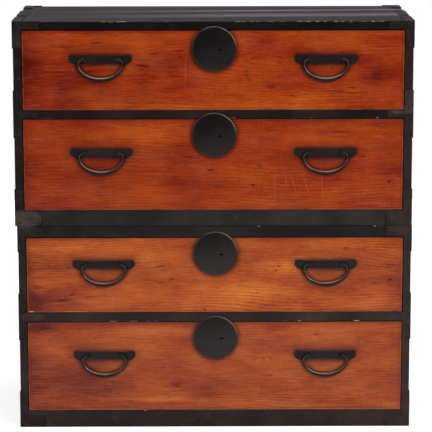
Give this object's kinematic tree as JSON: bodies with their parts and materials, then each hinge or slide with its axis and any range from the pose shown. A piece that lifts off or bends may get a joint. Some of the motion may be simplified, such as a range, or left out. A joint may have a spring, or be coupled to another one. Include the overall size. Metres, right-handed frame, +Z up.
{
  "type": "clothing chest",
  "caption": "Two-section stacking clothing chest of lacquered wood with full-width drawers, round iron lock plates, bail handles and black iron corners.",
  "frame": {"origin": "centre of the underside of the bounding box, on the floor", "axes": "+Z up, drawers open towards -Y, +X to the right as seen from the front"},
  "size_m": [1.0742, 0.4702, 1.0946],
  "materials": {
    "forged_iron": "forged, black lacquered, semi-gloss",
    "nail_iron": "hammered nail heads, black",
    "sheet_iron": "sheet iron, black lacquered, satin",
    "lock_plate_iron": "turned iron disc, black lacquered, satin",
    "lock_iron": "bare iron, dull",
    "upper_front_lacquer": "red-brown transparent lacquer over softwood, gloss",
    "lower_front_lacquer": "orange-brown transparent lacquer over softwood, gloss",
    "drawer_softwood": "bare softwood, planed",
    "back_softwood": "bare softwood, darkened",
    "upper_case_lacquer": "black lacquer over softwood, satin",
    "lower_case_lacquer": "black lacquer over softwood, satin, worn"
  },
  "bodies": {
    "lower_case": {"lower_side_boards": "lower_case_lacquer", "lower_top_board": "lower_case_lacquer", "lower_shelf": "lower_case_lacquer", "lower_base": "lower_case_lacquer", "lower_back_planks": "back_softwood", "lower_corner_irons": "sheet_iron", "lower_iron_nails": "nail_iron", "lower_side_handle_mounts": "forged_iron"},
    "upper_case": {"upper_side_boards": "upper_case_lacquer", "upper_top_board": "upper_case_lacquer", "upper_shelf": "upper_case_lacquer", "upper_base": "upper_case_lacquer", "upper_back_planks": "back_softwood", "upper_corner_irons": "sheet_iron", "upper_iron_nails": "nail_iron", "upper_side_handle_mounts": "forged_iron"},
    "lower_side_left_bail": {"lower_side_left_bail": "forged_iron"},
    "lower_side_right_bail": {"lower_side_right_bail": "forged_iron"},
    "upper_side_left_bail": {"upper_side_left_bail": "forged_iron"},
    "upper_side_right_bail": {"upper_side_right_bail": "forged_iron"},
    "drawer_1": {"drawer_1_front": "upper_front_lacquer", "drawer_1_sides": "drawer_softwood", "drawer_1_back": "drawer_softwood", "drawer_1_bottom": "drawer_softwood", "drawer_1_lock_plate": "lock_plate_iron", "drawer_1_lock_case": "lock_iron", "drawer_1_handle_mounts": "forged_iron"},
    "drawer_1_lock_bolt": {"drawer_1_lock_bolt": "lock_iron"},
    "drawer_1_left_bail": {"drawer_1_left_bail": "forged_iron"},
    "drawer_1_right_bail": {"drawer_1_right_bail": "forged_iron"},
    "drawer_2": {"drawer_2_front": "upper_front_lacquer", "drawer_2_sides": "drawer_softwood", "drawer_2_back": "drawer_softwood", "drawer_2_bottom": "drawer_softwood", "drawer_2_lock_plate": "lock_plate_iron", "drawer_2_lock_case": "lock_iron", "drawer_2_handle_mounts": "forged_iron"},
    "drawer_2_lock_bolt": {"drawer_2_lock_bolt": "lock_iron"},
    "drawer_2_left_bail": {"drawer_2_left_bail": "forged_iron"},
    "drawer_2_right_bail": {"drawer_2_right_bail": "forged_iron"},
    "drawer_3": {"drawer_3_front": "lower_front_lacquer", "drawer_3_sides": "drawer_softwood", "drawer_3_back": "drawer_softwood", "drawer_3_bottom": "drawer_softwood", "drawer_3_lock_plate": "lock_plate_iron", "drawer_3_lock_case": "lock_iron", "drawer_3_handle_mounts": "forged_iron"},
    "drawer_3_lock_bolt": {"drawer_3_lock_bolt": "lock_iron"},
    "drawer_3_left_bail": {"drawer_3_left_bail": "forged_iron"},
    "drawer_3_right_bail": {"drawer_3_right_bail": "forged_iron"},
    "drawer_4": {"drawer_4_front": "lower_front_lacquer", "drawer_4_sides": "drawer_softwood", "drawer_4_back": "drawer_softwood", "drawer_4_bottom": "drawer_softwood", "drawer_4_lock_plate": "lock_plate_iron", "drawer_4_lock_case": "lock_iron", "drawer_4_handle_mounts": "forged_iron"},
    "drawer_4_lock_bolt": {"drawer_4_lock_bolt": "lock_iron"},
    "drawer_4_left_bail": {"drawer_4_left_bail": "forged_iron"},
    "drawer_4_right_bail": {"drawer_4_right_bail": "forged_iron"}
  },
  "joints": [
    {"name": "upper_case_lift", "type": "slide", "parent": "lower_case", "child": "upper_case", "axis": [0, 0, 1], "range_m": [0, 0.15]},
    {"name": "lower_side_left_bail_swing", "type": "hinge", "parent": "lower_case", "child": "lower_side_left_bail", "pos_m": [-0.5256, 0.00375, 0.368], "axis": [0, 1, 0], "range_deg": [0, 170]},
    {"name": "lower_side_right_bail_swing", "type": "hinge", "parent": "lower_case", "child": "lower_side_right_bail", "pos_m": [0.5316, 0.00375, 0.368], "axis": [0, -1, 0], "range_deg": [0, 170]},
    {"name": "upper_side_left_bail_swing", "type": "hinge", "parent": "upper_case", "child": "upper_side_left_bail", "pos_m": [-0.5306, 0.00375, 0.9175], "axis": [0, 1, 0], "range_deg": [0, 170]},
    {"name": "upper_side_right_bail_swing", "type": "hinge", "parent": "upper_case", "child": "upper_side_right_bail", "pos_m": [0.5306, 0.00375, 0.9175], "axis": [0, -1, 0], "range_deg": [0, 170]},
    {"name": "drawer_1_slide", "type": "slide", "parent": "upper_case", "child": "drawer_1", "axis": [0, -1, 0], "range_m": [0, 0.36]},
    {"name": "drawer_1_bolt_throw", "type": "slide", "parent": "drawer_1", "child": "drawer_1_lock_bolt", "axis": [0, 0, 1], "range_m": [0, 0.008]},
    {"name": "drawer_1_left_bail_swing", "type": "hinge", "parent": "drawer_1", "child": "drawer_1_left_bail", "pos_m": [-0.295, -0.22935, 0.9915], "axis": [-1, 0, 0], "range_deg": [0, 170]},
    {"name": "drawer_1_right_bail_swing", "type": "hinge", "parent": "drawer_1", "child": "drawer_1_right_bail", "pos_m": [0.295, -0.22935, 0.9915], "axis": [-1, 0, 0], "range_deg": [0, 170]},
    {"name": "drawer_2_slide", "type": "slide", "parent": "upper_case", "child": "drawer_2", "axis": [0, -1, 0], "range_m": [0, 0.36]},
    {"name": "drawer_2_bolt_throw", "type": "slide", "parent": "drawer_2", "child": "drawer_2_lock_bolt", "axis": [0, 0, 1], "range_m": [0, 0.008]},
    {"name": "drawer_2_left_bail_swing", "type": "hinge", "parent": "drawer_2", "child": "drawer_2_left_bail", "pos_m": [-0.295, -0.22935, 0.7445], "axis": [-1, 0, 0], "range_deg": [0, 170]},
    {"name": "drawer_2_right_bail_swing", "type": "hinge", "parent": "drawer_2", "child": "drawer_2_right_bail", "pos_m": [0.295, -0.22935, 0.7445], "axis": [-1, 0, 0], "range_deg": [0, 170]},
    {"name": "drawer_3_slide", "type": "slide", "parent": "lower_case", "child": "drawer_3", "axis": [0, -1, 0], "range_m": [0, 0.36]},
    {"name": "drawer_3_bolt_throw", "type": "slide", "parent": "drawer_3", "child": "drawer_3_lock_bolt", "axis": [0, 0, 1], "range_m": [0, 0.008]},
    {"name": "drawer_3_left_bail_swing", "type": "hinge", "parent": "drawer_3", "child": "drawer_3_left_bail", "pos_m": [-0.292, -0.22935, 0.4445], "axis": [-1, 0, 0], "range_deg": [0, 170]},
    {"name": "drawer_3_right_bail_swing", "type": "hinge", "parent": "drawer_3", "child": "drawer_3_right_bail", "pos_m": [0.298, -0.22935, 0.4445], "axis": [-1, 0, 0], "range_deg": [0, 170]},
    {"name": "drawer_4_slide", "type": "slide", "parent": "lower_case", "child": "drawer_4", "axis": [0, -1, 0], "range_m": [0, 0.36]},
    {"name": "drawer_4_bolt_throw", "type": "slide", "parent": "drawer_4", "child": "drawer_4_lock_bolt", "axis": [0, 0, 1], "range_m": [0, 0.008]},
    {"name": "drawer_4_left_bail_swing", "type": "hinge", "parent": "drawer_4", "child": "drawer_4_left_bail", "pos_m": [-0.292, -0.22935, 0.1965], "axis": [-1, 0, 0], "range_deg": [0, 170]},
    {"name": "drawer_4_right_bail_swing", "type": "hinge", "parent": "drawer_4", "child": "drawer_4_right_bail", "pos_m": [0.298, -0.22935, 0.1965], "axis": [-1, 0, 0], "range_deg": [0, 170]}
  ]
}
